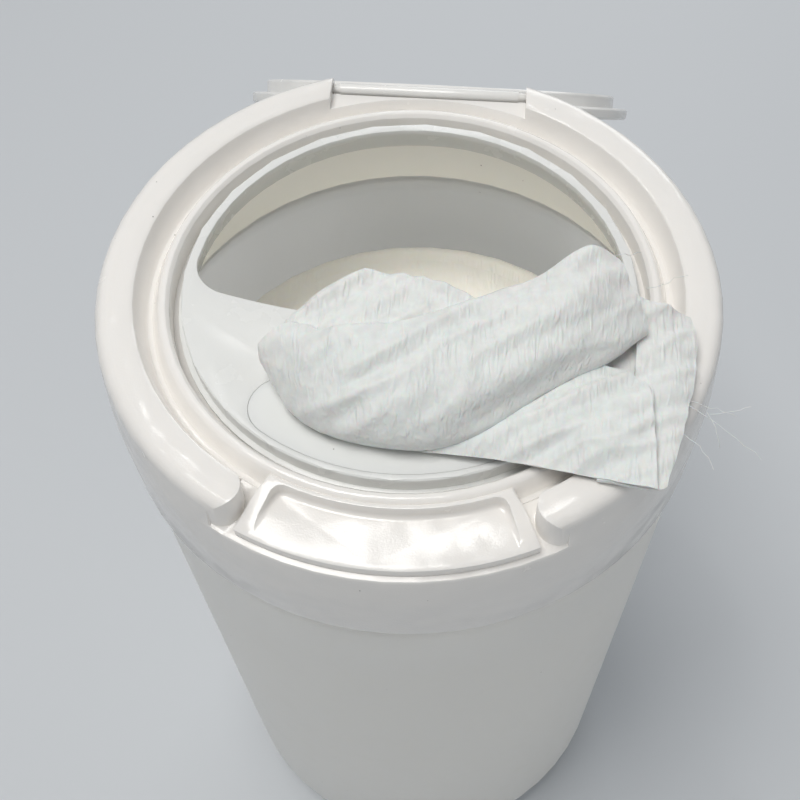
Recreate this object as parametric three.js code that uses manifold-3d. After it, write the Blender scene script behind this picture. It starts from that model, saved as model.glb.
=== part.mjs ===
// Wide-mouth wipes canister: a blow-moulded bottle, a moulded screw cap with a raised ring and a thumb
// recess, a snap-in dispenser plate with a soft slit membrane, a hinged lid standing open past its hinge,
// a centre-pull roll of nonwoven wipes and the wipe that has been pulled up through the slit.
// Units are millimetres, +Z is up, and the origin is on the flat panel pushed up into the bottle's base.

import * as THREE from 'three';
import * as BufferGeometryUtils from 'three/addons/utils/BufferGeometryUtils.js';
import Module from 'manifold-3d';

const wasm = await Module();
wasm.setup();

// Driving dimensions of the bottle
const bodyRadius = 60;
const bodyHeight = 181;
const bottleWall = 1.3;
const heelRadius = 15;
const pushUpDepth = 3;
const footWidth = 3;
const shoulderStep = 3.4;
const shoulderHeight = 9;
const neckHeight = 14.2;
const neckWall = 2;

// Driving dimensions of the screw cap, from the thread inwards
const threadDepth = 1.2;
const threadFit = 0.4;
const capHeight = 30.3;
const lipToRingTop = 13;
const skirtWall = 2.9;
const skirtLean = 1.1;
const skirtLeanHeight = 12;
const ringWidth = 7.7;
const ringWall = 1.9;
const grooveDraft = 1.1;
const grooveDepth = 5.3;
const grooveFloorWidth = 1.3;
const landWidth = 5.1;
const landSlope = 1.9;
const landDrop = 1.9;
const channelWidth = 1.9;
const channelDepth = 6.5;
const deckWall = 1.6;
const plugWall = 1.6;
const plugFit = 0.4;
const plugDepth = 3.5;

// Driving dimensions of the thumb recess at the front
const ringEndHalfAngle = 27.2;
const ridgeHalfAngle = 26.2;
const recessHalfAngle = 23.6;
const recessCorner = 2.4;
const recessLip = 1;
const valleyDrop = 3.2;
const apronDrop = 6.5;
const recessWall = 1.8;

// Driving dimensions of the dispenser plate and its membrane
const seatFit = 0.3;
const plateThickness = 1.4;
const plateDrop = 2.3;
const plateRim = 1.9;
const plateSkirtWall = 1;
const plateSkirtHeight = 4.8;
const seatFlangeHeight = 0.7;
const seatFlangeWidth = 1;
const hookHalfAngle = 9;
const hookSpread = 58;
const hookReach = 0.6;
const openingFrontY = -9.5;
const openingFrontRadius = 138;
const openingCornerRadius = 8;
const membraneInset = 1.5;
const membraneHalfWidth = 6.1;
const membraneHalfAngle = 34.5;
const membraneThickness = 0.8;
const membraneLedge = 1.2;
const slitHalfAngle = 12;
const slitWidth = 4.4;
const slitInset = 1.4;

// Driving dimensions of the lid and its hinge
const lidLandInset = 0.7;
const lidRim = 2.7;
const lidWeb = 1.5;
const lidSealWall = 1;
const lidSealHeight = 3;
const lidClearance = 0.3;
const lidOpenAngle = 220.5;
const hingeInset = 6;
const hingeDrop = 2.7;
const hingeBarrelRadius = 1.3;
const hingePinRadius = 0.95;
const hingePinLength = 2.5;
const hingeRunningFit = 0.3;
const socketFit = 0.25;
const hingeHalfWidth = 19.4;
const notchSideFit = 1.6;
const notchWallDrop = 2.6;
const lugThickness = 1.1;
const lugPadHalfWidth = 8.5;
const tabHalfWidth = 13;
const tabReach = 8.5;
const tabThickness = 2.1;

// Driving dimensions of the roll and the pulled wipe
const rollSideFit = 5.2;
const rollTopDrop = 17.5;
const rollEdgeRadius = 4;
const rollCrown = 2.6;
const rollBoreRadius = 15;
const rollTurns = 9;
const rollTurnDepth = 0.7;
const restGap = 0.3;
const wipeTailWidth = 13;
const wipeTailThickness = 2.8;
const wipeTailDepth = 26;
const wipeLength = 79;
const wipeGap = 0.5;

// Levels and radii that follow
const footLevel = -pushUpDepth;
const shoulderLevel = footLevel + bodyHeight;
const neckLevel = shoulderLevel + shoulderHeight;
const lipLevel = neckLevel + neckHeight;
const ringTop = lipLevel + lipToRingTop;
const skirtBottom = ringTop - capHeight;
const grooveLevel = ringTop - grooveDepth;
const landLevel = ringTop - landDrop;
const channelLevel = ringTop - channelDepth;
const plateTop = ringTop - plateDrop;
const plateUnder = plateTop - plateThickness;
const neckRadius = bodyRadius - shoulderStep;
const neckBore = neckRadius - neckWall;
const skirtBore = neckRadius + threadDepth + threadFit;
const skirtRadius = skirtBore + skirtWall;
const ringRadius = skirtRadius - skirtLean;
const ringInner = ringRadius - ringWidth;
const grooveRadius = ringInner - grooveDraft;
const grooveInner = grooveRadius - grooveFloorWidth;
const channelRadius = grooveRadius - landWidth;
const deckBore = channelRadius - channelWidth;
const plateRadius = deckBore - seatFit;
const openingRadius = plateRadius - plateRim;
const plugRadius = neckBore - plugFit;
const blockUnder = lipLevel + restGap;
const hingeY = ringRadius - hingeInset;
const hingeZ = ringTop - hingeDrop;
const notchHalfWidth = hingeHalfWidth + notchSideFit;
const lidRadius = grooveInner - lidLandInset;
const lidUnder = landLevel + lidClearance;
const lidTop = lidUnder + lidRim;
const lugUnder = ringTop - notchWallDrop + lidClearance;
const lugTop = lugUnder + lugThickness;
const lugBend = ringInner - 0.2;
const rollBottom = bottleWall + restGap;
const rollRadius = bodyRadius - bottleWall - rollSideFit;
const rollTop = bodyHeight - rollTopDrop + rollBottom;

// Facet counts
const collarFacets = 64;
const bottleFacets = 48;
const lidFacets = 48;
const rollFacets = 36;

const radians = THREE.MathUtils.degToRad;
const point = (x, y) => new THREE.Vector2(x, y);

// Points along a circular arc, ends included, angles in degrees
function arc(centreX, centreY, radius, fromAngle, toAngle, steps) {
  const points = [];
  for (let i = 0; i <= steps; i++) {
    const angle = radians(fromAngle + (toAngle - fromAngle) * i / steps);
    points.push(point(centreX + radius * Math.cos(angle), centreY + radius * Math.sin(angle)));
  }
  return points;
}

// A closed geometry becomes a solid, turned right side out where its faces point inwards
function solid(geometry) {
  const bare = geometry.clone();
  bare.deleteAttribute('normal');
  bare.deleteAttribute('uv');
  const merged = BufferGeometryUtils.mergeVertices(bare, 1e-4);
  const vertices = new Float32Array(merged.attributes.position.array);
  const triangles = [];
  const index = merged.index.array;
  for (let i = 0; i < index.length; i += 3) {
    const [a, b, c] = [index[i], index[i + 1], index[i + 2]];
    if (a !== b && b !== c && c !== a) triangles.push(a, b, c);
  }
  let volume = 0;
  const corner = (i) => new THREE.Vector3().fromArray(vertices, 3 * i);
  for (let i = 0; i < triangles.length; i += 3) {
    volume += corner(triangles[i]).dot(corner(triangles[i + 1]).cross(corner(triangles[i + 2])));
  }
  if (volume < 0) triangles.reverse();
  return new wasm.Manifold(new wasm.Mesh({
    numProp: 3,
    vertProperties: vertices,
    triVerts: new Uint32Array(triangles),
  }));
}

// A solid becomes a named mesh of its own material
function piece(name, body, color, roughness) {
  const mesh = body.getMesh();
  const geometry = new THREE.BufferGeometry();
  geometry.setAttribute('position', new THREE.BufferAttribute(new Float32Array(mesh.vertProperties), 3));
  geometry.setIndex(new THREE.BufferAttribute(new Uint32Array(mesh.triVerts), 1));
  geometry.computeVertexNormals();
  const material = new THREE.MeshStandardMaterial({ color, roughness, metalness: 0 });
  const result = new THREE.Mesh(geometry, material);
  result.name = name;
  return result;
}

// A profile of radius and height, turned about Z
function turned(profile, facets) {
  const geometry = new THREE.LatheGeometry([...profile, profile[0]], facets);
  geometry.rotateX(Math.PI / 2);
  return solid(geometry);
}

// An outline in X and Y, raised from one level to another
function raised(shape, fromZ, toZ, curveSegments = 24) {
  const geometry = new THREE.ExtrudeGeometry(shape, { depth: toZ - fromZ, bevelEnabled: false, curveSegments });
  geometry.translate(0, 0, fromZ);
  return solid(geometry);
}

// An outline in Y and Z, carried along X from one side to the other
function alongX(outline, fromX, toX) {
  const geometry = new THREE.ExtrudeGeometry(new THREE.Shape(outline), { depth: toX - fromX, bevelEnabled: false });
  geometry.applyMatrix4(new THREE.Matrix4().set(
    0, 0, 1, fromX,
    1, 0, 0, 0,
    0, 1, 0, 0,
    0, 0, 0, 1,
  ));
  return solid(geometry);
}

function block(fromX, toX, fromY, toY, fromZ, toZ) {
  const geometry = new THREE.BoxGeometry(toX - fromX, toY - fromY, toZ - fromZ);
  geometry.translate((fromX + toX) / 2, (fromY + toY) / 2, (fromZ + toZ) / 2);
  return solid(geometry);
}

function rodAlongX(radius, fromX, toX, y, z, facets = 20) {
  const geometry = new THREE.CylinderGeometry(radius, radius, toX - fromX, facets);
  geometry.rotateZ(Math.PI / 2);
  geometry.translate((fromX + toX) / 2, y, z);
  return solid(geometry);
}

// A sector about the front centre line, between two radii, with its corners rounded
function wedgeShape(halfAngle, innerRadius, outerRadius, corner = 0) {
  const [start, end] = [radians(270 - halfAngle), radians(270 + halfAngle)];
  const shape = new THREE.Shape();
  shape.absarc(0, 0, outerRadius, start, end, false);
  const inner = corner / innerRadius;
  const side = (angle, radius) => point(radius * Math.cos(angle), radius * Math.sin(angle));
  for (const [angle, sign] of [[end, -1], [start, 1]]) {
    const tip = side(angle, innerRadius);
    const along = side(angle, innerRadius + corner);
    const around = side(angle + sign * inner, innerRadius);
    const [from, to] = sign < 0 ? [along, around] : [around, along];
    if (sign > 0) shape.absarc(0, 0, innerRadius, end - inner, start + inner, true);
    shape.lineTo(from.x, from.y);
    if (corner) shape.quadraticCurveTo(tip.x, tip.y, to.x, to.y);
  }
  return shape;
}

function frontWedge(halfAngle, innerRadius, outerRadius, fromZ, toZ) {
  return raised(wedgeShape(halfAngle, innerRadius, outerRadius), fromZ, toZ, 12);
}

// A raised outline whose upper edge is rounded off inwards, or whose lower edge is where it is a pocket
function bevelled(shape, fromZ, toZ, size, pocket = false) {
  const geometry = new THREE.ExtrudeGeometry(shape, {
    depth: toZ - fromZ - size,
    bevelThickness: size,
    bevelSize: size,
    bevelOffset: -size,
    bevelSegments: 3,
    curveSegments: 12,
  });
  geometry.translate(0, 0, pocket ? fromZ + size : fromZ);
  const beyond = 200;
  const whole = solid(geometry);
  const keep = pocket
    ? block(-beyond, beyond, -beyond, beyond, fromZ - 1, toZ)
    : block(-beyond, beyond, -beyond, beyond, fromZ, toZ + 1);
  return whole.intersect(keep);
}

// Bottle: one thin blown shell with a neck, a soft shoulder, a round heel and a pushed-up base
function buildBottle() {
  const shoulder = (offset) => {
    const points = [];
    const steps = 4;
    for (let i = 0; i <= steps; i++) {
      const share = i / steps;
      const swell = shoulderStep * (1 - Math.cos(Math.PI * share)) / 2;
      points.push(point(neckRadius + swell - offset, neckLevel - shoulderHeight * share));
    }
    return points;
  };
  const footRadius = bodyRadius - heelRadius;
  const panelRadius = footRadius - footWidth - 2 * pushUpDepth;
  const neckBead = 0.9;
  const outside = [
    point(0, 0),
    point(panelRadius, 0),
    point(panelRadius + pushUpDepth, footLevel + 0.4),
    point(footRadius - footWidth, footLevel),
    ...arc(footRadius, footLevel + heelRadius, heelRadius, -90, 0, 6),
    ...shoulder(0).reverse(),
    point(neckRadius + neckBead, neckLevel + 0.8),
    point(neckRadius + neckBead, neckLevel + 2),
    point(neckRadius, neckLevel + 2.8),
    point(neckRadius, lipLevel - 0.5),
    point(neckRadius - 0.5, lipLevel),
  ];
  const inside = [
    point(neckBore + 0.4, lipLevel),
    point(neckBore, lipLevel - 0.5),
    point(neckBore, neckLevel),
    ...shoulder(bottleWall).slice(1),
    ...arc(footRadius, footLevel + heelRadius, heelRadius - bottleWall, 0, -90, 6),
    point(footRadius - footWidth, footLevel + bottleWall),
    point(panelRadius + pushUpDepth, footLevel + 0.4 + bottleWall),
    point(panelRadius, bottleWall),
    point(0, bottleWall),
  ];
  return turned([...outside, ...inside], bottleFacets);
}

// Screw cap: skirt, hollow raised ring, groove, rounded land, channel for the plate, plug seal below
function capProfile() {
  const ringRound = 2.8;
  const skirtTip = 0.4;
  const landInner = channelRadius + 0.7;
  return [
    point(skirtBore, skirtBottom),
    point(skirtRadius - skirtTip, skirtBottom),
    point(skirtRadius, skirtBottom + skirtTip),
    point(skirtRadius, ringTop - ringRound - skirtLeanHeight),
    point(skirtRadius - 0.35 * skirtLean, ringTop - ringRound - skirtLeanHeight / 2),
    ...arc(ringRadius - ringRound, ringTop - ringRound, ringRound, 0, 90, 5),
    point(ringInner + 0.8, ringTop),
    point(ringInner + 0.2, ringTop - 0.3),
    point(ringInner, ringTop - 0.9),
    point(grooveRadius + 0.1, grooveLevel + 0.5),
    point(grooveRadius - 0.4, grooveLevel),
    point(grooveInner, grooveLevel),
    point(grooveInner - 0.4 * landSlope, grooveLevel + 0.35 * (landLevel - grooveLevel)),
    point(grooveInner - 0.8 * landSlope, grooveLevel + 0.8 * (landLevel - grooveLevel)),
    point(grooveInner - landSlope, landLevel - 0.2),
    point(grooveInner - landSlope - 0.6, landLevel),
    point(landInner, landLevel - 0.1),
    point(channelRadius + 0.1, landLevel - 0.8),
    point(channelRadius, channelLevel),
    point(deckBore, channelLevel),
    point(deckBore, channelLevel - deckWall),
    point(channelRadius + deckWall, channelLevel - deckWall),
    point(channelRadius + deckWall + 0.8, grooveLevel - 1.8),
    point(plugRadius - plugWall, grooveLevel - 1.8),
    point(plugRadius - plugWall, blockUnder - plugDepth),
    point(plugRadius - plugWall / 2, blockUnder - plugDepth - 0.3),
    point(plugRadius, blockUnder - plugDepth + 1),
    point(plugRadius, blockUnder),
    point(skirtBore, blockUnder),
  ];
}

// A point given from the hinge axis in the closed lid's Y and Z, moved to where the open lid has it
function whenOpen(y, z) {
  const turn = -radians(lidOpenAngle);
  const [cos, sin] = [Math.cos(turn), Math.sin(turn)];
  return point(hingeY + y * cos - z * sin, hingeZ + y * sin + z * cos);
}

function buildCollar() {
  let collar = turned(capProfile(), collarFacets);

  const hollowTop = ringTop - ringWall;
  const hollowInner = Math.max(grooveRadius, plugRadius - plugWall) + deckWall + 0.1;
  const hollowRing = turned([
    point(hollowInner, blockUnder - 1),
    point(hollowInner, hollowTop - 1),
    point(hollowInner + 1, hollowTop),
    point(ringRadius - ringWall - 1.2, hollowTop),
    point(ringRadius - ringWall, hollowTop - 1.2),
    point(skirtBore - 0.05, blockUnder - 1),
  ], collarFacets);
  const fillInner = ringInner - 6;
  const noseRadius = ringWidth / 2;
  const noseMiddle = ringRadius - noseRadius;
  const noseAngle = ringEndHalfAngle + THREE.MathUtils.radToDeg(noseRadius / noseMiddle);
  const trayUnder = grooveLevel - recessWall;
  const frontFill = frontWedge(noseAngle + 2, fillInner, skirtRadius + 2, trayUnder - valleyDrop, ringTop + 2);
  const underTray = frontWedge(recessHalfAngle - 3, fillInner - 1, ringRadius - recessWall, blockUnder, trayUnder);
  const hingeFill = block(-notchHalfWidth - 3.5, notchHalfWidth + 3.5, 0, skirtRadius + 2,
    blockUnder - 2, ringTop + 2);
  collar = collar.subtract(hollowRing.subtract(frontFill.subtract(underTray)).subtract(hingeFill));

  // The ring stops short at the front in two rounded noses, and the groove runs out around them
  let frontGap = frontWedge(noseAngle, grooveRadius - 0.2, skirtRadius + 2, grooveLevel - valleyDrop, ringTop + 2);
  for (const side of [-1, 1]) {
    const nose = new THREE.CylinderGeometry(noseRadius, noseRadius, capHeight, 28);
    nose.rotateX(Math.PI / 2);
    nose.translate(0, -noseMiddle, ringTop);
    nose.rotateZ(side * radians(noseAngle));
    frontGap = frontGap.subtract(solid(nose));
  }
  const valleyFloor = turned([
    point(fillInner, grooveLevel - valleyDrop - 1),
    point(skirtRadius + 3, grooveLevel - valleyDrop - 1),
    point(skirtRadius + 3, grooveLevel - valleyDrop),
    point(ringRadius, grooveLevel - valleyDrop + 0.6),
    point(ringInner, grooveLevel),
    point(fillInner, grooveLevel),
  ], collarFacets);
  collar = collar.subtract(frontGap.subtract(valleyFloor));

  // Between the noses the land falls outwards as a low saddle, and a round-cornered pocket is sunk in it
  const saddleShape = wedgeShape(ridgeHalfAngle, grooveInner - landSlope, ringRadius - 0.4);
  const saddle = bevelled(saddleShape, trayUnder - 0.5, landLevel - 0.3, 1.6).intersect(turned([
    point(fillInner, blockUnder),
    point(ringRadius + 1, blockUnder),
    point(ringRadius - 0.2, grooveLevel - 0.4),
    point(ringRadius - 3, grooveLevel + 0.5),
    point(grooveRadius, landLevel - 0.8),
    point(grooveInner - landSlope + 0.6, landLevel - 0.3),
    point(fillInner, landLevel - 0.3),
  ], collarFacets));
  collar = collar.add(saddle);
  const pocketShape = wedgeShape(recessHalfAngle, grooveInner - 0.5, ringRadius + 4, recessCorner);
  const pocket = bevelled(pocketShape, grooveLevel, landLevel + 0.4, recessLip, true);
  collar = collar.subtract(pocket);
  const apron = turned([
    point(ringRadius - 0.7, grooveLevel + 0.6),
    point(ringRadius - 0.5, grooveLevel),
    point(ringRadius + 0.25, grooveLevel - 0.25 * apronDrop),
    point(ringRadius + 0.7, grooveLevel - 0.5 * apronDrop),
    point(skirtRadius, grooveLevel - apronDrop),
    point(skirtRadius + 3, grooveLevel - apronDrop),
    point(skirtRadius + 3, grooveLevel + 0.6),
  ], collarFacets).intersect(frontWedge(ringEndHalfAngle + 1.2, fillInner, skirtRadius + 4,
    grooveLevel - apronDrop - 1, grooveLevel + 2));
  collar = collar.subtract(apron);

  // At the back the ring is lowered between two end faces, cradles the barrel and slopes off behind it
  const cradle = lugTop - hingeZ + hingeRunningFit;
  const notchFloor = ringTop - notchWallDrop;
  const cradleStart = 180 + THREE.MathUtils.radToDeg(Math.asin((hingeZ - notchFloor) / cradle));
  const lidEdge = lidRadius - hingeY + hingeRunningFit;
  const lidFace = lidTop - hingeZ + hingeRunningFit;
  const notchOutline = [
    point(hingeY - 12, ringTop + 4),
    point(hingeY - 12, notchFloor),
    ...arc(hingeY, hingeZ, cradle, cradleStart, 450 - lidOpenAngle, 6),
    whenOpen(lugBend - hingeY + 0.4, cradle),
    whenOpen(lidEdge, lidFace),
    whenOpen(lidEdge - 12, lidFace),
    point(skirtRadius + 6, ringTop + 4),
  ];
  const keepLand = raised(new THREE.Shape().absarc(0, 0, grooveRadius - 0.05, 0, 2 * Math.PI),
    grooveLevel - 10, ringTop + 6, 32);
  const notch = alongX(notchOutline, -notchHalfWidth, notchHalfWidth).subtract(keepLand);
  collar = collar.subtract(notch);
  const socket = hingePinRadius + socketFit;
  const socketReach = hingeHalfWidth + hingePinLength + hingeRunningFit;
  return collar.subtract(rodAlongX(socket, -socketReach, socketReach, hingeY, hingeZ, 16));
}

// Outline of the large opening at the back of the plate, with round corners and a bowed front edge
function openingPath() {
  const frontCentreY = openingFrontY + openingFrontRadius;
  const cornerDistance = openingRadius - openingCornerRadius;
  const frontDistance = openingFrontRadius - openingCornerRadius;
  const cornerY = (cornerDistance ** 2 + frontCentreY ** 2 - frontDistance ** 2) / (2 * frontCentreY);
  const cornerX = Math.sqrt(cornerDistance ** 2 - cornerY ** 2);
  const rimAngle = Math.atan2(cornerY, cornerX);
  const frontAngle = Math.atan2(cornerY - frontCentreY, cornerX);
  const path = new THREE.Path();
  path.absarc(0, 0, openingRadius, rimAngle, Math.PI - rimAngle, false);
  path.absarc(-cornerX, cornerY, openingCornerRadius, Math.PI - rimAngle, Math.PI - frontAngle, false);
  path.absarc(0, frontCentreY, openingFrontRadius, Math.PI - frontAngle, frontAngle + 2 * Math.PI, false);
  path.absarc(cornerX, cornerY, openingCornerRadius, frontAngle, rimAngle, false);
  return path;
}

// Kidney-shaped outline that follows the plate's front rim; a positive grow widens it all round
function kidney(target, middleRadius, halfWidth, halfAngle) {
  const [start, end] = [270 - halfAngle, 270 + halfAngle];
  const centre = (angle) => point(middleRadius * Math.cos(radians(angle)), middleRadius * Math.sin(radians(angle)));
  target.absarc(0, 0, middleRadius + halfWidth, radians(start), radians(end), false);
  target.absarc(centre(end).x, centre(end).y, halfWidth, radians(end), radians(end + 180), false);
  target.absarc(0, 0, middleRadius - halfWidth, radians(end), radians(start), true);
  target.absarc(centre(start).x, centre(start).y, halfWidth, radians(start + 180), radians(start + 360), false);
  return target;
}

const membraneMiddle = plateRadius - membraneInset - membraneHalfWidth;
const membraneTop = plateTop;
const membraneUnder = membraneTop - membraneThickness;

// Dispenser plate: a thin disc with a turned-down rim, a seat flange and two snap hooks under the cap's deck
function buildInsertPlate() {
  const disc = new THREE.Shape().absarc(0, 0, plateRadius, 0, 2 * Math.PI);
  disc.holes.push(openingPath());
  disc.holes.push(kidney(new THREE.Path(), membraneMiddle, membraneHalfWidth - membraneLedge, membraneHalfAngle));
  const rebate = raised(kidney(new THREE.Shape(), membraneMiddle, membraneHalfWidth + seatFit, membraneHalfAngle),
    membraneUnder - seatFit, plateTop + 1, 10);
  const skirtInner = plateRadius - plateSkirtWall;
  const seatZ = channelLevel + seatFit;
  const skirt = turned([
    point(skirtInner, plateTop - plateSkirtHeight),
    point(plateRadius, plateTop - plateSkirtHeight),
    point(plateRadius, seatZ),
    point(plateRadius + seatFlangeWidth, seatZ),
    point(plateRadius + seatFlangeWidth, seatZ + seatFlangeHeight),
    point(plateRadius, seatZ + seatFlangeHeight),
    point(plateRadius, plateTop - 0.3),
    point(plateRadius - 0.3, plateTop),
    point(skirtInner, plateTop),
  ], collarFacets);
  const hookUnder = channelLevel - deckWall - seatFit;
  const hookRing = turned([
    point(skirtInner, plateTop - plateSkirtHeight + 0.5),
    point(skirtInner, hookUnder - 1.6),
    point(plateRadius - 0.2, hookUnder - 1.6),
    point(plateRadius + hookReach, hookUnder - 0.6),
    point(plateRadius + hookReach, hookUnder),
    point(plateRadius, hookUnder),
    point(plateRadius, plateTop - plateSkirtHeight + 0.5),
  ], collarFacets);
  const hookWedge = frontWedge(hookHalfAngle, plateRadius - 5, plateRadius + 5, hookUnder - 5, plateTop);
  const hooks = [-hookSpread, 0, hookSpread].map((angle) => hookRing.intersect(hookWedge.rotate([0, 0, angle])))
    .reduce((sum, hook) => sum.add(hook));
  return raised(disc, plateUnder, plateTop, 12).add(skirt).subtract(rebate).add(hooks);
}

// Slit membrane: a soft kidney-shaped panel with one arc slit that the wipe is pulled through
const slitMiddle = membraneMiddle - slitInset;

function buildMembrane() {
  const panel = raised(kidney(new THREE.Shape(), membraneMiddle, membraneHalfWidth, membraneHalfAngle),
    membraneUnder, membraneTop, 10);
  const slit = kidney(new THREE.Shape(), slitMiddle, slitWidth / 2, slitHalfAngle);
  return panel.subtract(raised(slit, membraneUnder - 1, membraneTop + 1, 8));
}

// Lid, built shut: disc with a thick rim, a seal ring, a hinge lug with barrel and pins, a thumb tab in front
function buildLid() {
  const sealOuter = channelRadius - 0.6;
  const edge = 0.5;
  const disc = turned([
    point(0, lidTop),
    point(lidRadius - edge, lidTop),
    point(lidRadius, lidTop - edge),
    point(lidRadius, lidUnder + edge),
    point(lidRadius - edge, lidUnder),
    point(sealOuter, lidUnder),
    point(sealOuter, lidUnder - lidSealHeight + edge),
    point(sealOuter - 0.4, lidUnder - lidSealHeight),
    point(sealOuter - lidSealWall, lidUnder - lidSealHeight),
    point(sealOuter - lidSealWall, lidTop - lidWeb),
    point(0, lidTop - lidWeb),
  ], lidFacets);
  const lug = alongX([
    point(lidRadius - 9, lidUnder),
    point(grooveInner, lidUnder),
    point(lugBend, lugUnder),
    point(hingeY, lugUnder),
    point(hingeY, lugTop),
    point(lugBend, lugTop),
    point(lidRadius, lidTop - 0.3),
    point(lidRadius - 9, lidTop - 0.3),
  ], -hingeHalfWidth, hingeHalfWidth).subtract(turned([
    point(0, lidUnder - 4),
    point(sealOuter - 0.2, lidUnder - 4),
    point(sealOuter - 0.2, lidTop - lidWeb),
    point(0, lidTop - lidWeb),
  ], lidFacets));
  const barrel = rodAlongX(hingeBarrelRadius, -hingeHalfWidth, hingeHalfWidth, hingeY, hingeZ, 20);
  const pinReach = hingeHalfWidth + hingePinLength;
  const pins = rodAlongX(hingePinRadius, -pinReach, pinReach, hingeY, hingeZ, 16);
  const pad = block(-lugPadHalfWidth, lugPadHalfWidth, lugBend + 0.4, hingeY - 0.2,
    lugTop - 0.5, lugTop + 0.1);
  const tabRound = 3;
  const tabFront = -lidRadius - tabReach;
  const tabShape = new THREE.Shape();
  tabShape.moveTo(tabHalfWidth + 2, -lidRadius + 6);
  tabShape.lineTo(-tabHalfWidth - 2, -lidRadius + 6);
  tabShape.lineTo(-tabHalfWidth, tabFront + tabRound);
  tabShape.quadraticCurveTo(-tabHalfWidth, tabFront, -tabHalfWidth + tabRound, tabFront);
  tabShape.lineTo(tabHalfWidth - tabRound, tabFront);
  tabShape.quadraticCurveTo(tabHalfWidth, tabFront, tabHalfWidth, tabFront + tabRound);
  const tab = raised(tabShape, lidUnder + 0.4, lidUnder + 0.4 + tabThickness, 6).subtract(turned([
    point(0, lidUnder - 4),
    point(sealOuter, lidUnder - 4),
    point(sealOuter, lidTop - lidWeb),
    point(0, lidTop - lidWeb),
  ], lidFacets));
  return disc.add(lug).add(barrel).add(pins).add(tab).add(pad);
}

// Roll: one coreless winding whose turns show as low ridges on both ends, with the centre pulled out
function buildRoll() {
  const pitch = (rollRadius - rollEdgeRadius - rollBoreRadius - 1) / rollTurns;
  const upper = [];
  for (let turn = 0; turn < rollTurns; turn++) {
    const radius = rollRadius - rollEdgeRadius - turn * pitch;
    const share = turn / rollTurns;
    const level = rollTop + rollCrown * Math.sin(Math.PI * share) - 2 * rollCrown * share ** 4;
    upper.push(point(radius, level));
    upper.push(point(radius - 0.75 * pitch, level - rollTurnDepth));
  }
  return turned([
    point(rollBoreRadius, rollBottom),
    point(rollRadius - rollEdgeRadius, rollBottom),
    ...arc(rollRadius - rollEdgeRadius, rollBottom + rollEdgeRadius, rollEdgeRadius, -90, 0, 3).slice(1),
    ...arc(rollRadius - rollEdgeRadius, rollTop - rollEdgeRadius, rollEdgeRadius, 0, 90, 4),
    ...upper.slice(1),
    point(rollBoreRadius, rollTop - 2 * rollCrown),
  ], rollFacets);
}

// Level of the surface that a lying wipe rests on, at a given distance from the axis
function restLevel(radius) {
  const overLand = smooth(radius, plateRadius - 2, channelRadius);
  const overRing = smooth(radius, grooveInner - 3.5, ringInner - 0.8);
  return plateTop + (landLevel - plateTop) * overLand + (ringTop - landLevel) * overRing + wipeGap;
}

function smooth(value, low, high) {
  const share = Math.min(1, Math.max(0, (value - low) / (high - low)));
  return share * share * (3 - 2 * share);
}

// Cross-sections of the pulled wipe from its left fold to its free end at the right, as shares of its
// length: the section's place along X, its front and back edges in Y, and the rise of its top.
const wipeSections = [
  { x: -0.34, front: -0.31, back: -0.18, rise: [0.01, 0.03, 0.045, 0.04, 0.02] },
  { x: -0.305, front: -0.38, back: -0.09, rise: [0.02, 0.08, 0.12, 0.12, 0.07] },
  { x: -0.22, front: -0.43, back: -0.03, rise: [0.03, 0.12, 0.165, 0.17, 0.11] },
  { x: -0.1, front: -0.465, back: -0.035, rise: [0.03, 0.135, 0.19, 0.18, 0.115] },
  { x: 0.025, front: -0.485, back: -0.1, rise: [0.028, 0.13, 0.195, 0.17, 0.1] },
  { x: 0.15, front: -0.49, back: -0.105, rise: [0.023, 0.105, 0.18, 0.195, 0.1] },
  { x: 0.265, front: -0.51, back: -0.065, rise: [0.02, 0.07, 0.13, 0.2, 0.12] },
  { x: 0.38, front: -0.535, back: -0.03, rise: [0.02, 0.07, 0.105, 0.16, 0.105] },
  { x: 0.495, front: -0.55, back: -0.07, rise: [0.024, 0.065, 0.09, 0.11, 0.065] },
  { x: 0.6, front: -0.545, back: -0.105, rise: [0.024, 0.05, 0.07, 0.07, 0.03] },
  { x: 0.65, front: -0.455, back: -0.15, rise: [0.013, 0.023, 0.03, 0.028, 0.015] },
];

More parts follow.
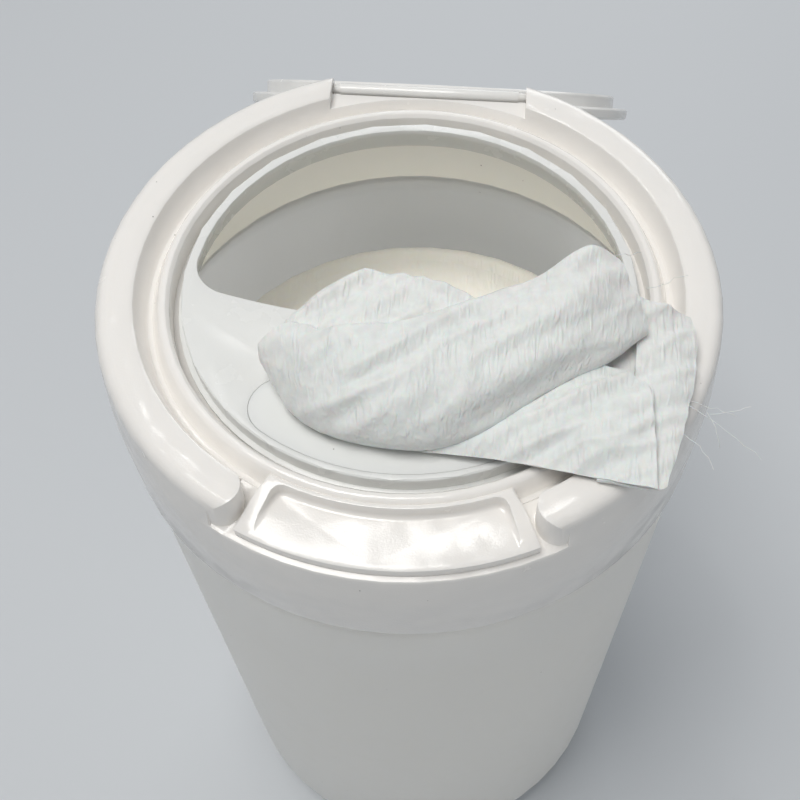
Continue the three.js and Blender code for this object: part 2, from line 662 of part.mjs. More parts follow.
function buildPulledWipe() {
  const acrossSteps = 12;
  const rings = wipeSections.map((section) => {
    const x = section.x * wipeLength;
    const front = section.front * wipeLength;
    const back = section.back * wipeLength;
    const heights = section.rise.map((height, i) => point(i / (section.rise.length - 1), height * wipeLength));
    const top = new THREE.SplineCurve(heights);
    const ring = [];
    for (let i = 0; i <= acrossSteps; i++) {
      const y = front + (back - front) * i / acrossSteps;
      ring.push(new THREE.Vector3(x, y, restLevel(Math.hypot(x, y))));
    }
    for (let i = acrossSteps; i >= 0; i--) {
      const share = i / acrossSteps;
      const y = front + (back - front) * share;
      const height = Math.max(0.4, top.getPoint(share).y);
      ring.push(new THREE.Vector3(x, y, restLevel(Math.hypot(x, y)) + height));
    }
    return ring;
  });
  const count = rings[0].length;
  const positions = rings.flat().flatMap((vertex) => vertex.toArray());
  const index = [];
  for (let s = 0; s < rings.length - 1; s++) {
    for (let i = 0; i < count; i++) {
      const [a, b] = [s * count + i, s * count + (i + 1) % count];
      index.push(a, b, b + count, a, b + count, a + count);
    }
  }
  for (const [start, flip] of [[0, false], [(rings.length - 1) * count, true]]) {
    for (let i = 0; i < count / 2 - 1; i++) {
      const [a, b] = [start + i, start + i + 1];
      const [c, d] = [start + count - 2 - i, start + count - 1 - i];
      const quad = [a, c, b, a, d, c];
      index.push(...(flip ? quad.reverse() : quad));
    }
  }
  const heap = new THREE.BufferGeometry();
  heap.setAttribute('position', new THREE.Float32BufferAttribute(positions, 3));
  heap.setIndex(index);

  // The strip below the slit, bunched to a flat oval and led over to the middle of the roll
  const tailSection = new THREE.Shape();
  tailSection.absellipse(0, 0, wipeTailWidth / 2, wipeTailThickness / 2, 0, 2 * Math.PI);
  const tailTop = plateTop + 2;
  const tailPath = new THREE.CatmullRomCurve3([
    new THREE.Vector3(0, -slitMiddle, tailTop),
    new THREE.Vector3(0, -slitMiddle, plateUnder - 2),
    new THREE.Vector3(0, -slitMiddle + 6, plateUnder - 12),
    new THREE.Vector3(0, -slitMiddle / 3, (plateUnder + rollTop) / 2 - 2),
    new THREE.Vector3(0, -2, rollTop + rollCrown + 2),
    new THREE.Vector3(0, 0, rollTop - wipeTailDepth),
  ]);
  const tail = new THREE.ExtrudeGeometry(tailSection, {
    steps: 14,
    bevelEnabled: false,
    extrudePath: tailPath,
    curveSegments: 7,
  });
  return solid(heap).add(solid(tail));
}

const capWhite = 0xece8e2;
const insertWhite = 0xdfe0da;
const membraneWhite = 0xd3dad9;
const bottleWhite = 0xc9ccc8;
const rollCream = 0xdcd8c6;
const wipeWhite = 0xe2e4e0;

const lid = piece('flip_lid', buildLid(), capWhite, 0.32);
lid.geometry.translate(0, -hingeY, -hingeZ);
const lidHinge = new THREE.Group();
lidHinge.position.set(0, hingeY, hingeZ);
lidHinge.rotation.x = -radians(lidOpenAngle);
lidHinge.add(lid);

const canister = new THREE.Group();
canister.add(
  piece('bottle', buildBottle(), bottleWhite, 0.5),
  piece('cap_collar', buildCollar(), capWhite, 0.32),
  piece('insert_plate', buildInsertPlate(), insertWhite, 0.4),
  piece('slit_membrane', buildMembrane(), membraneWhite, 0.5),
  lidHinge,
  piece('wipe_roll', buildRoll(), rollCream, 0.9),
  piece('pulled_wipe', buildPulledWipe(), wipeWhite, 0.95),
);

export default canister;
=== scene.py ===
import math

import bmesh
import bpy
from mathutils import Matrix, Vector, noise


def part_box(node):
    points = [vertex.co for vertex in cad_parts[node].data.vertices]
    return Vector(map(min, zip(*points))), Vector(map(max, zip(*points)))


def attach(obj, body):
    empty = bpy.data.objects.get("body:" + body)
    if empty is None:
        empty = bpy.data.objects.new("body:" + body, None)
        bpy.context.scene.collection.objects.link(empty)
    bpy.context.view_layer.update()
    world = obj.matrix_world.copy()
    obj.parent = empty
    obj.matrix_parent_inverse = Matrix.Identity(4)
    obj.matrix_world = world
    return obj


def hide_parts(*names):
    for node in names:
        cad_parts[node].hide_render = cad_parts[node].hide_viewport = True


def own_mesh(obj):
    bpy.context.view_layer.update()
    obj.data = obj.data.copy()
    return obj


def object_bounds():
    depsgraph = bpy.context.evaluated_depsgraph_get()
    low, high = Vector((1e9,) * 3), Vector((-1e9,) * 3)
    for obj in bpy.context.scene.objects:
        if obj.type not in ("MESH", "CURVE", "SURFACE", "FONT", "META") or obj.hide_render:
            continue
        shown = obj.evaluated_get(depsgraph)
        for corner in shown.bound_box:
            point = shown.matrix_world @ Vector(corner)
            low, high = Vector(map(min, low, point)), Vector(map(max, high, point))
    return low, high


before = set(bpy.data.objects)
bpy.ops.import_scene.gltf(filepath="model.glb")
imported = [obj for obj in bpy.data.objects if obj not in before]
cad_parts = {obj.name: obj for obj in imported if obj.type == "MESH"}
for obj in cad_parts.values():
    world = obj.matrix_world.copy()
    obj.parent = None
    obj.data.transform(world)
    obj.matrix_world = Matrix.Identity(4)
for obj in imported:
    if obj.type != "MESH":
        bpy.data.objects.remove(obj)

cad_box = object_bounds()
bpy.ops.object.select_all(action="DESELECT")


# Bottle: one blown shell of thin, milky polyethylene, with a flat panel pushed up into its base. It
# lets some light through. Together with the painted glow of the neck's inside and of the roll, the room
# above the roll is bright inside. It keeps the frame's own form, as all the moulded pieces do: each is a
# welded copy of its node, smooth but for its true edges.
def pick(piece):
    bpy.ops.object.select_all(action="DESELECT")
    piece.select_set(True)
    bpy.context.view_layer.objects.active = piece


def moulded_copy(node, name, crisp, edge=0.0):
    weld_distance = 0.00002
    flat_angle = math.radians(0.2)
    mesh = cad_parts[node].data.copy()
    mesh.materials.clear()
    piece = bpy.data.objects.new(name, mesh)
    bpy.context.collection.objects.link(piece)
    pick(piece)
    bpy.ops.object.mode_set(mode="EDIT")
    bpy.ops.mesh.select_all(action="SELECT")
    bpy.ops.mesh.remove_doubles(threshold=weld_distance)
    bpy.ops.mesh.dissolve_limited(angle_limit=flat_angle)
    bpy.ops.object.mode_set(mode="OBJECT")
    if edge:
        bevel = piece.modifiers.new("moulded_edge", "BEVEL")
        bevel.width = edge
        bevel.segments = 2
        bevel.limit_method = "ANGLE"
        bevel.angle_limit = math.radians(crisp)
        bpy.ops.object.modifier_apply(modifier="moulded_edge")
    bpy.ops.object.shade_smooth_by_angle(angle=math.radians(crisp))
    return piece


def socket(group, name, kind, way, value=None):
    made = group.interface.new_socket(name=name, in_out=way, socket_type=kind)
    if value is not None:
        made.default_value = value


# Moulded plastic is never quite flat: it has slow waves, a fine skin and a few rubs and specks. The
# group gives a height for a Bump node and two masks, one of rubs and one of small dark specks.
skin = bpy.data.node_groups.new("moulded_skin", "ShaderNodeTree")
socket(skin, "Wave Scale", "NodeSocketFloat", "INPUT", 60.0)
socket(skin, "Speck Scale", "NodeSocketFloat", "INPUT", 900.0)
socket(skin, "Height", "NodeSocketFloat", "OUTPUT")
socket(skin, "Rub", "NodeSocketFloat", "OUTPUT")
socket(skin, "Speck", "NodeSocketFloat", "OUTPUT")
nodes, links = skin.nodes, skin.links
taken = nodes.new("NodeGroupInput")
given = nodes.new("NodeGroupOutput")
place = nodes.new("ShaderNodeTexCoord")
slow = nodes.new("ShaderNodeTexNoise")
slow.inputs["Detail"].default_value = 1.5
fine = nodes.new("ShaderNodeTexNoise")
fine.inputs["Scale"].default_value = 2600
fine.inputs["Detail"].default_value = 2
both = nodes.new("ShaderNodeMath")
both.operation = "MULTIPLY_ADD"
both.inputs[1].default_value = 0.02
rub = nodes.new("ShaderNodeTexNoise")
rub.inputs["Scale"].default_value = 140
rub.inputs["Detail"].default_value = 5
rub_band = nodes.new("ShaderNodeMapRange")
rub_band.inputs["From Min"].default_value = 0.56
rub_band.inputs["From Max"].default_value = 0.72
cell = nodes.new("ShaderNodeTexVoronoi")
cell.inputs["Randomness"].default_value = 1
dot = nodes.new("ShaderNodeMapRange")
dot.inputs["From Min"].default_value = 0.07
dot.inputs["From Max"].default_value = 0.03
rare = nodes.new("ShaderNodeMapRange")
rare.inputs["From Min"].default_value = 0.80
rare.inputs["From Max"].default_value = 0.84
few = nodes.new("ShaderNodeMath")
few.operation = "MULTIPLY"
for node in (slow, fine, rub, cell):
    links.new(place.outputs["Object"], node.inputs["Vector"])
links.new(taken.outputs["Wave Scale"], slow.inputs["Scale"])
links.new(taken.outputs["Speck Scale"], cell.inputs["Scale"])
links.new(fine.outputs["Fac"], both.inputs[0])
links.new(slow.outputs["Fac"], both.inputs[2])
links.new(both.outputs[0], given.inputs["Height"])
links.new(rub.outputs["Fac"], rub_band.inputs["Value"])
links.new(rub_band.outputs["Result"], given.inputs["Rub"])
links.new(cell.outputs["Distance"], dot.inputs["Value"])
links.new(cell.outputs["Color"], rare.inputs["Value"])
links.new(dot.outputs["Result"], few.inputs[0])
links.new(rare.outputs["Result"], few.inputs[1])
links.new(few.outputs[0], given.inputs["Speck"])


# A gloss or satin moulding in one resin colour, with its skin's waviness, rubs and specks
def moulded_plastic(name, colour, rough, wave_scale, wave, sheen, speck_scale, soft):
    speck_colour = (0.35, 0.33, 0.30)
    rub_roughness = 0.14
    material = bpy.data.materials.new(name)
    material.use_nodes = True
    nodes, links = material.node_tree.nodes, material.node_tree.links
    shader = nodes["Principled BSDF"]
    shader.inputs["IOR"].default_value = 1.49
    shader.inputs["Specular IOR Level"].default_value = sheen
    shader.inputs["Subsurface Weight"].default_value = soft
    shader.inputs["Subsurface Radius"].default_value = (1.0, 0.95, 0.88)
    shader.inputs["Subsurface Scale"].default_value = 0.003
    surface = nodes.new("ShaderNodeGroup")
    surface.node_tree = skin
    surface.inputs["Wave Scale"].default_value = wave_scale
    surface.inputs["Speck Scale"].default_value = speck_scale
    tint = nodes.new("ShaderNodeMix")
    tint.data_type = "RGBA"
    tint.inputs["A"].default_value = (*colour, 1)
    tint.inputs["B"].default_value = (*speck_colour, 1)
    spread = nodes.new("ShaderNodeMapRange")
    spread.inputs["To Min"].default_value = rough
    spread.inputs["To Max"].default_value = rough + rub_roughness
    bump = nodes.new("ShaderNodeBump")
    bump.inputs["Strength"].default_value = 1
    bump.inputs["Distance"].default_value = wave
    links.new(surface.outputs["Speck"], tint.inputs["Factor"])
    links.new(tint.outputs["Result"], shader.inputs["Base Color"])
    links.new(surface.outputs["Rub"], spread.inputs["Value"])
    links.new(spread.outputs["Result"], shader.inputs["Roughness"])
    links.new(surface.outputs["Height"], bump.inputs["Height"])
    links.new(bump.outputs["Normal"], shader.inputs["Normal"])
    return material


bottle_material = moulded_plastic(
    "milky_blown_shell", (0.88, 0.88, 0.845), rough=0.36, wave_scale=28, wave=0.0010,
    sheen=0.4, speck_scale=300, soft=1.0)
bottle_shader = bottle_material.node_tree.nodes["Principled BSDF"]
bottle_shader.inputs["Subsurface Scale"].default_value = 0.012
bottle = moulded_copy("bottle", "bottle_shell", crisp=50)
bottle.data.materials.append(bottle_material)

# Painted glow: the neck's inside gets a warmer copy of the shell's resin that emits a faint light of
# its own. It stands in for the light that the cap scatters through the neck.
neck_glow_material = moulded_plastic(
    "neck_shell_painted_glow", (0.86, 0.84, 0.77), rough=0.36, wave_scale=28, wave=0.0010,
    sheen=0.4, speck_scale=300, soft=1.0)
neck_glow_shader = neck_glow_material.node_tree.nodes["Principled BSDF"]
neck_glow_shader.inputs["Emission Color"].default_value = (1.0, 0.975, 0.91, 1)
neck_glow_shader.inputs["Emission Strength"].default_value = 0.14
bottle.data.materials.append(neck_glow_material)
# Only the inward faces above the cap's lowest edge get the painted glow
neck_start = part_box("cap_collar")[0][2]
for face in bottle.data.polygons:
    if face.center.z > neck_start and face.normal.xy.dot(face.center.xy) < 0:
        face.material_index = 1
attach(bottle, "bottle")
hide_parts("bottle")


# Screw cap: one gloss polypropylene moulding, with the raised ring, groove, land and thumb recess in
# one piece. It is screwed over the bottle's neck, and its edges are rounded as the mould leaves them.
cap_material = moulded_plastic(
    "gloss_cap_resin", (0.85, 0.825, 0.79), rough=0.14, wave_scale=75, wave=0.0010,
    sheen=0.5, speck_scale=330, soft=0.25)
cap = moulded_copy("cap_collar", "screw_cap", crisp=38, edge=0.00035)
cap.data.materials.append(cap_material)
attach(cap, "cap")
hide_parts("cap_collar")


# Dispenser plate: a thin satin moulding in a cooler white, snapped into the cap from below. The large
# opening at its back shows the roll, and the soft membrane sits in its front.
plate_material = moulded_plastic(
    "satin_plate_resin", (0.76, 0.765, 0.745), rough=0.24, wave_scale=60, wave=0.0005,
    sheen=0.45, speck_scale=360, soft=0.3)
plate = moulded_copy("insert_plate", "dispenser_plate", crisp=38, edge=0.0002)
plate.data.materials.append(plate_material)
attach(plate, "cap")
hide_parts("insert_plate")


# Slit membrane: a soft, matt kidney-shaped panel moulded into the plate, with the slit that grips the
# wipe. It is pressed a little into the plate's seat, so only a hair line shows around it.
membrane_material = moulded_plastic(
    "soft_membrane", (0.765, 0.775, 0.755), rough=0.5, wave_scale=90, wave=0.0004,
    sheen=0.35, speck_scale=420, soft=0.3)
seat_press = 0.0003
seat_drop = 0.00005
membrane = moulded_copy("slit_membrane", "grip_membrane", crisp=38)
membrane.data.update()
outward = [vertex.normal.copy() for vertex in membrane.data.vertices]
for vertex, way in zip(membrane.data.vertices, outward):
    vertex.co += Vector((seat_press * way.x, seat_press * way.y, -seat_drop))
membrane.data.materials.append(membrane_material)
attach(membrane, "cap")
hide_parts("slit_membrane")


# Lid: a thin moulding in nearly the same gloss resin as the cap, held by the pins of its barrel. It
# stands open behind the hinge and rests on the slanted stop, with its seal ring upwards.
lid_material = moulded_plastic(
    "gloss_lid_resin", (0.80, 0.79, 0.765), rough=0.2, wave_scale=75, wave=0.0006,
    sheen=0.5, speck_scale=330, soft=0.25)
lid = moulded_copy("flip_lid", "hinged_lid", crisp=38, edge=0.0003)
lid.data.materials.append(lid_material)
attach(lid, "lid")
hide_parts("flip_lid")


# Roll: moist cloth wound without a core, its upper end crowned and uneven where turns stand proud. The
# cloth is a spunlaced web of fine random fibres, moist enough for a soft low sheen. The group gives a
# height of crossed strands and a slow change of thickness.
web = bpy.data.node_groups.new("spunlace_web", "ShaderNodeTree")
socket(web, "Strand Scale", "NodeSocketFloat", "INPUT", 900.0)
socket(web, "Height", "NodeSocketFloat", "OUTPUT")
socket(web, "Thickness", "NodeSocketFloat", "OUTPUT")
nodes, links = web.nodes, web.links
taken = nodes.new("NodeGroupInput")
given = nodes.new("NodeGroupOutput")
place = nodes.new("ShaderNodeTexCoord")
crossed = nodes.new("ShaderNodeMath")
crossed.operation = "MAXIMUM"
for layer, turn in enumerate(((0.3, 0.2, 0.5), (0.1, 0.6, 2.1))):
    laid = nodes.new("ShaderNodeMapping")
    laid.inputs["Rotation"].default_value = turn
    laid.inputs["Scale"].default_value = (1, 0.16, 0.6)
    strand = nodes.new("ShaderNodeTexNoise")
    strand.noise_type = "RIDGED_MULTIFRACTAL"
    strand.inputs["Detail"].default_value = 3
    strand.inputs["Distortion"].default_value = 0.4
    links.new(place.outputs["Object"], laid.inputs["Vector"])
    links.new(laid.outputs["Vector"], strand.inputs["Vector"])
    links.new(taken.outputs["Strand Scale"], strand.inputs["Scale"])
    links.new(strand.outputs["Fac"], crossed.inputs[layer])
links.new(crossed.outputs[0], given.inputs["Height"])
cloud = nodes.new("ShaderNodeTexNoise")
cloud.inputs["Scale"].default_value = 420
cloud.inputs["Detail"].default_value = 4
links.new(place.outputs["Object"], cloud.inputs["Vector"])
links.new(cloud.outputs["Fac"], given.inputs["Thickness"])


# Cloth between two tones, the thinner places darker and wetter, with strands as its relief
def fibre_cloth(name, thin, thick, rough, depth, scale, soft):
    material = bpy.data.materials.new(name)
    material.use_nodes = True
    nodes, links = material.node_tree.nodes, material.node_tree.links
    shader = nodes["Principled BSDF"]
    shader.inputs["Specular IOR Level"].default_value = 0.35
    shader.inputs["Sheen Weight"].default_value = 0.2
    shader.inputs["Subsurface Weight"].default_value = soft
    shader.inputs["Subsurface Scale"].default_value = 0.0025
    surface = nodes.new("ShaderNodeGroup")
    surface.node_tree = web
    surface.inputs["Strand Scale"].default_value = scale
    band = nodes.new("ShaderNodeMapRange")
    band.inputs["From Min"].default_value = 0.3
    band.inputs["From Max"].default_value = 0.7
    tint = nodes.new("ShaderNodeMix")
    tint.data_type = "RGBA"
    tint.inputs["A"].default_value = (*thin, 1)
    tint.inputs["B"].default_value = (*thick, 1)
    wet = nodes.new("ShaderNodeMapRange")
    wet.inputs["To Min"].default_value = rough - 0.12
    wet.inputs["To Max"].default_value = rough + 0.1
    bump = nodes.new("ShaderNodeBump")
    bump.inputs["Strength"].default_value = 1
    bump.inputs["Distance"].default_value = depth
    links.new(surface.outputs["Thickness"], band.inputs["Value"])
    links.new(band.outputs["Result"], tint.inputs["Factor"])
    links.new(band.outputs["Result"], wet.inputs["Value"])
    links.new(wet.outputs["Result"], shader.inputs["Roughness"])
    links.new(tint.outputs["Result"], shader.inputs["Base Color"])
    links.new(surface.outputs["Height"], bump.inputs["Height"])
    links.new(bump.outputs["Normal"], shader.inputs["Normal"])
    return material


# Painted glow: the roll's tones are lighter and warmer than the pulled sheet's, and it emits a faint light
# of its own. Both stand in for light that comes in through the milky shell onto the shaded roll.
roll_material = fibre_cloth(
    "moist_roll_cloth_painted_glow", (0.87, 0.855, 0.78), (0.92, 0.905, 0.835), rough=0.62, depth=0.0002,
    scale=700, soft=0.15)
roll_glow_shader = roll_material.node_tree.nodes["Principled BSDF"]
roll_glow_shader.inputs["Emission Color"].default_value = (1.0, 0.97, 0.89, 1)
roll_glow_shader.inputs["Emission Strength"].default_value = 0.13
roll = moulded_copy("wipe_roll", "wound_roll", crisp=80)
roll_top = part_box("wipe_roll")[1][2]
crown_height = 0.012
crown_rise = 0.0026
crown_unevenness = 0.0016
for vertex in roll.data.vertices:
    place = vertex.co
    upper = max(0.0, (place.z - (roll_top - crown_height)) / crown_height)
    if upper > 0:
        angle = math.atan2(place.y, place.x)
        slow = noise.noise(Vector((1.4 * math.cos(angle), 1.4 * math.sin(angle), 40 * place.xy.length)))
        place.z += upper * (crown_rise - crown_unevenness * (0.5 + 0.5 * slow))
roll.data.materials.append(roll_material)
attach(roll, "bottle")
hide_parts("wipe_roll")


# Pulled wipe: one moist sheet that comes up through the slit, turns over to the left in a puffed flap,
# doubles back in a long band to the right, and ends in a folded panel that lies over the ring's edge.
# Each fold starts as a small net of points, front row first, in millimetres over the plate's top.
wipe_folds = {
    "underside": [
        [(-23.5, -24, 1.8), (-19, -33.2, 0.9), (-8, -37.6, 0.8), (4, -38.3, 0.8),
         (14, -37.8, 1.0), (25, -39, 1.9), (36, -42, 3.3), (44, -43.6, 3.4)],
        [(-22, -22, 1.6), (-16, -24, 1.2), (-8, -24, 1.0), (4, -25, 1.0),
         (14, -26, 1.0), (25, -25, 1.5), (36, -26, 2.2), (45, -27, 3.8)],
        [(-21, -18, 4), (-15, -14, 5), (-8, -10, 6), (3, -10.5, 5.5),
         (15, -13, 5), (25, -10.5, 6), (33, -8, 8), (42, -9, 7)],
    ],
    "right_layer": [
        [(35, -43.6, 3.4), (45.3, -45.4, 3.2), (46.6, -44.2, 3.1)],
        [(40, -36, 4.2), (46, -37.5, 4.9), (48.3, -38.5, 4.0)],
        [(41, -28, 6), (47, -29.5, 6.2), (50.3, -30.5, 4.6)],
        [(42, -19, 7), (48, -20, 7), (52.6, -21.5, 5.0)],
        [(41.5, -10.5, 8), (47, -11.5, 8), (52.8, -14.5, 5.4)],
        [(37, -7.5, 11), (44, -8.7, 9), (51.8, -9.6, 5.2)],
    ],
    "flap": [
        [(-23.7, -21, 5), (-14, -25, 9), (-2, -22, 10.4), (8, -18.5, 10.6), (15, -15, 10.8)],
        [(-21.5, -18.5, 8.6), (-13, -17, 11.4), (-4, -15.5, 12.4), (6, -14.5, 12), (16, -14, 11)],
        [(-18.8, -16.8, 9.4), (-14.4, -12.6, 11.6), (-7.6, -7.6, 12.9), (2, -8.9, 12.4), (16, -13.6, 11)],
        [(-18.4, -16.2, 7.6), (-13.6, -12, 9.4), (-7.2, -7.6, 10.6), (2, -9.0, 10), (15, -13.2, 9)],
    ],
    "panel": [
        [(5, -38.4, 1.0), (15, -39.0, 1.5), (25.5, -41.0, 2.4), (35.6, -43.6, 3.9), (45, -45.2, 4.2)],
        [(14, -36.4, 3.6), (21, -35.4, 5.2), (30, -35.6, 6.4), (37, -37, 6.9), (44.6, -38, 6.6)],
        [(20, -32, 5.2), (28, -29, 6.8), (35, -29, 8.0), (40, -30, 8.4), (44.0, -31, 8.0)],
        [(24, -28, 6), (31, -23, 6.6), (37, -22, 7), (42, -24, 7.2), (44, -27, 7.4)],
    ],
    "band": [
        [(-23.2, -23, 1.6), (-19, -32.6, 0.9), (-8, -37.4, 0.8), (4, -38.2, 1.0),
         (13, -36.8, 2.0), (21, -31, 4.6), (31, -24.5, 6.0), (43, -15.5, 7.4)],
        [(-24.8, -23, 4.4), (-20, -33.8, 4.2), (-8, -39.4, 4.4), (4, -40, 4.6),
         (14, -37.6, 5.4), (23, -31.6, 7.6), (32, -25.2, 9.2), (43.6, -16.4, 9.4)],
        [(-24.2, -22, 8.2), (-17, -29.6, 9.4), (-7, -33.6, 11.4), (3, -33.4, 12.8),
         (14, -30.6, 13.0), (23, -26, 13.8), (31, -20.6, 14.2), (42, -13, 12.6)],
        [(-22, -20.6, 10.4), (-14, -25.8, 12.6), (-5, -25.8, 14.2), (4, -24.2, 15.2),
         (15, -19.6, 15.0), (24, -16.2, 16.2), (31, -12, 17.6), (39, -8.6, 15.4)],
        [(-19.6, -19.4, 10.2), (-11, -23.2, 12.8), (-2, -21.6, 14.2), (6, -19, 14.6),
         (15.5, -14.8, 14.4), (24, -10.8, 15.8), (32.8, -4.6, 18.6), (37.6, -5.6, 15.6)],
        [(-18, -18.6, 8.2), (-10, -21.4, 10.4), (-1, -19.4, 11.6), (7, -17, 12),
         (16, -13, 12), (24.6, -9.6, 13), (32.4, -4.6, 14.6), (37.4, -5.8, 12.6)],
    ],
}
plate_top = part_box("insert_plate")[1][2]

# Three of the rows are pressed into sharper folds, each given as its place in the net and its crease
pressed_rows = {"flap": (2, 0.55), "panel": (2, 0.35), "band": (4, 0.9)}
mesh = bmesh.new()
crease = mesh.edges.layers.float.new("crease_edge")
for name, rows in wipe_folds.items():
    laid = [[mesh.verts.new((x / 1000, y / 1000, plate_top + z / 1000)) for x, y, z in row] for row in rows]
    for near, far in zip(laid, laid[1:]):
        for a, b, c, d in zip(near, near[1:], far[1:], far):
            mesh.faces.new((a, b, c, d))
    if name in pressed_rows:
        number, sharp = pressed_rows[name]
        for a, b in zip(laid[number], laid[number][1:]):
            mesh.edges.get((a, b))[crease] = sharp

# The strip between the slit and the roll's middle is gathered into a few pleats
pleats = 9
pleat_width = 1.45
pleat_height = 0.75
tail_line = [
    (-34.6, plate_top * 1000 + 1.6), (-34.9, plate_top * 1000 - 3), (-30.5, plate_top * 1000 - 12),
    (-16, plate_top * 1000 - 26), (-4, roll_top * 1000 + 3), (-0.5, roll_top * 1000 - 10),
    (0, roll_top * 1000 - 24),
]
strands = []
for step, (y, z) in enumerate(tail_line):
    before = tail_line[max(0, step - 1)]
    after = tail_line[min(len(tail_line) - 1, step + 1)]
    run = Vector((after[0] - before[0], after[1] - before[1])).normalized()
    row = []
    for pleat in range(pleats):
        side = (pleat - pleats // 2) * pleat_width
        lift = pleat_height * (-1) ** pleat
        row.append(mesh.verts.new((side / 1000, (y - lift * run.y) / 1000, (z + lift * run.x) / 1000)))
    strands.append(row)
for near, far in zip(strands, strands[1:]):
    for a, b, c, d in zip(near, near[1:], far[1:], far):
        mesh.faces.new((a, d, c, b))

wipe_mesh = bpy.data.meshes.new("pulled_sheet")
mesh.to_mesh(wipe_mesh)
mesh.free()
wipe = bpy.data.objects.new("pulled_sheet", wipe_mesh)
bpy.context.collection.objects.link(wipe)
pick(wipe)
smooth = wipe.modifiers.new("soft_folds", "SUBSURF")
smooth.levels = smooth.render_levels = 4
smooth.boundary_smooth = "PRESERVE_CORNERS"
bpy.ops.object.modifier_apply(modifier="soft_folds")

# Small wrinkles run along the band and grow where the cloth is loose
wide_height = 0.0010
crest_height = 0.00065
pucker_height = 0.00008
wipe.data.update()
normals = [vertex.normal.copy() for vertex in wipe.data.vertices]
for vertex, normal in zip(wipe.data.vertices, normals):
    x, y, z = vertex.co * 1000
    loose = min(1.0, max(0.0, (z - plate_top * 1000) / 6))
    along, across = 0.86 * x + 0.5 * y, -0.5 * x + 0.86 * y
    wide = noise.noise(Vector((along / 15, across / 5.2, z / 11)))
    crest = 1 - 3 * abs(noise.noise(Vector((along / 19, across / 4.4, z / 8 + 3))))
    pucker = 1 - 3 * abs(noise.noise(Vector((along / 4.2, across / 3.1, z / 4 + 7))))
    vertex.co += normal * loose * (wide_height * wide + crest_height * crest + pucker_height * pucker)
sheet_thickness = 0.0006
shell = wipe.modifiers.new("cloth_thickness", "SOLIDIFY")
shell.thickness = sheet_thickness
shell.offset = 0
bpy.ops.object.modifier_apply(modifier="cloth_thickness")
bpy.ops.object.shade_smooth_by_angle(angle=math.radians(60))
wipe_material = fibre_cloth(
    "moist_wipe_cloth", (0.71, 0.71, 0.69), (0.80, 0.80, 0.78), rough=0.5, depth=0.00026,
    scale=950, soft=0.2)
wipe.data.materials.append(wipe_material)
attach(wipe, "cap")
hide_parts("pulled_wipe")

# A few loose fibres stick out of the sheet's cut edge at the right. Each has its root over the plate's
# top in millimetres, how far it sags, how far it reaches and the way it points in radians.
fibre_points = 9
fibres = bpy.data.curves.new("loose_fibres", "CURVE")
fibres.dimensions = "3D"
fibres.bevel_depth = 0.00006
fibres.bevel_resolution = 1
for start, sag, reach, turn in (
    ((50.2, -27.5, 4.6), 1.0, 17, -0.62),
    ((50.4, -27.0, 4.7), 0.2, 9, -0.25),
    ((54.5, -30.0, 5.0), -0.8, 7, 0.1),
    ((54.0, -29.8, 5.2), 1.6, 6, -1.1),
    ((43.5, -6.8, 10.0), -1.2, 7, 0.25),
    ((36.8, -4.6, 15.6), 1.0, 6, 0.4),
    ((49.6, -33.5, 4.2), 0.8, 8, -0.75),
):
    line = fibres.splines.new("POLY")
    line.points.add(fibre_points - 1)
    for step in range(fibre_points):
        share = step / (fibre_points - 1)
        spot = Vector((7 * start[0], 5 * share + start[1], reach))
        wander = Vector([noise.noise(spot + Vector((0, 0, 9.3 * way))) for way in range(3)]) * 1.1 * share
        x = start[0] + reach * share * math.cos(turn) + wander.x
        y = start[1] + reach * share * math.sin(turn) + wander.y
        z = start[2] - sag * 2 * share ** 2 + 0.6 * wander.z
        line.points[step].co = (x / 1000, y / 1000, plate_top + z / 1000, 1)
fibre_curve = bpy.data.objects.new("loose_fibres", fibres)
bpy.context.collection.objects.link(fibre_curve)
pick(fibre_curve)
bpy.ops.object.convert(target="MESH")
fibre_piece = bpy.context.object
fibre_piece.data.materials.clear()
fibre_piece.data.materials.append(wipe_material)
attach(fibre_piece, "cap")
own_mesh(wipe)
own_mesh(fibre_piece)


# Floor: one plain pale sheet that the foot ring stands on. It is not part of the object.
floor_size = 8
floor_gap = 0.0002
bpy.ops.object.select_all(action="DESELECT")
bpy.ops.mesh.primitive_plane_add(size=floor_size, location=(0, 0, cad_box[0][2] - floor_gap))
floor = bpy.context.object
floor.name = "floor"
floor_material = bpy.data.materials.new("pale_floor")
floor_material.use_nodes = True
floor_shader = floor_material.node_tree.nodes["Principled BSDF"]
floor_shader.inputs["Base Color"].default_value = (0.62, 0.64, 0.66, 1)
floor_shader.inputs["Roughness"].default_value = 0.9
floor.data.materials.append(floor_material)


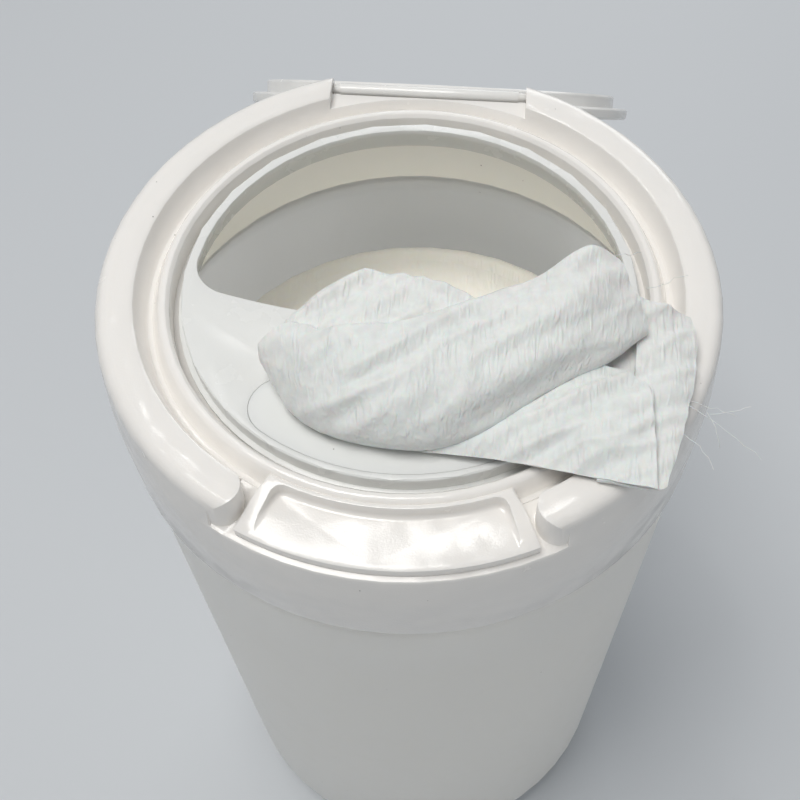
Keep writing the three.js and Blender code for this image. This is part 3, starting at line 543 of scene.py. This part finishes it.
# Light: a large soft lamp high over the left front, a low one in front, a weak one behind, a small one
# that the gloss mirrors as sparkles, and a grey room
def lamp(name, place, aim, width, length, power, colour):
    data = bpy.data.lights.new(name, "AREA")
    data.shape = "RECTANGLE"
    data.size = width
    data.size_y = length
    data.energy = power
    data.color = colour
    made = bpy.data.objects.new(name, data)
    bpy.context.collection.objects.link(made)
    made.location = place
    made.rotation_euler = (Vector(aim) - Vector(place)).to_track_quat("-Z", "Y").to_euler()


lamp("key_lamp", (-0.24, -0.08, 1.25), (0, 0, 0.2), 0.55, 0.55, 8.2, (1.0, 0.985, 0.96))
lamp("fill_lamp", (0.45, -1.0, 0.35), (0, 0, 0.12), 0.9, 0.6, 1.3, (1.0, 0.995, 0.97))
lamp("back_lamp", (0.15, 0.9, 0.5), (0, 0, 0.15), 0.6, 0.4, 1.8, (0.97, 0.985, 1.0))
lamp("window_lamp", (-0.30, 0.42, 1.05), (0, 0, 0.2), 0.05, 0.08, 0.35, (1.0, 0.99, 0.97))

world = bpy.data.worlds.new("soft_room")
bpy.context.scene.world = world
world.use_nodes = True
world.node_tree.nodes["Background"].inputs["Color"].default_value = (0.62, 0.65, 0.69, 1)
world.node_tree.nodes["Background"].inputs["Strength"].default_value = 0.41
bpy.context.scene.view_settings.view_transform = "Standard"


# Camera: close above the front edge, looking down over the open top, and swung a little round the
# canister's axis. Its place is in millimetres, with its height counted from the cap's land.
look_down = math.radians(60.61)
roll_turn = math.radians(0.794)
yaw = math.radians(2.8)
ahead = Vector((0, math.cos(look_down), -math.sin(look_down)))
beside = Vector((1, 0, 0))
below = Vector((0, -math.sin(look_down), -math.cos(look_down)))
right = math.cos(roll_turn) * beside - math.sin(roll_turn) * below
down = math.sin(roll_turn) * beside + math.cos(roll_turn) * below
land_height = 212.0
stand = Vector((7.17, -135.16, 157.68 + land_height)) / 1000
turn = Matrix.Rotation(yaw, 3, "Z")
axes = Matrix((turn @ right, -(turn @ down), -(turn @ ahead))).transposed()
camera_data = bpy.data.cameras.new("camera")
camera_data.sensor_fit = "HORIZONTAL"
camera_data.sensor_width = 36
camera_data.lens = 47.60
camera_data.shift_x = -0.0558
camera_data.shift_y = 0.1167
camera_data.clip_start = 0.01
camera = bpy.data.objects.new("camera", camera_data)
bpy.context.collection.objects.link(camera)
camera.matrix_world = Matrix.Translation(turn @ stand) @ axes.to_4x4()
bpy.context.scene.camera = camera
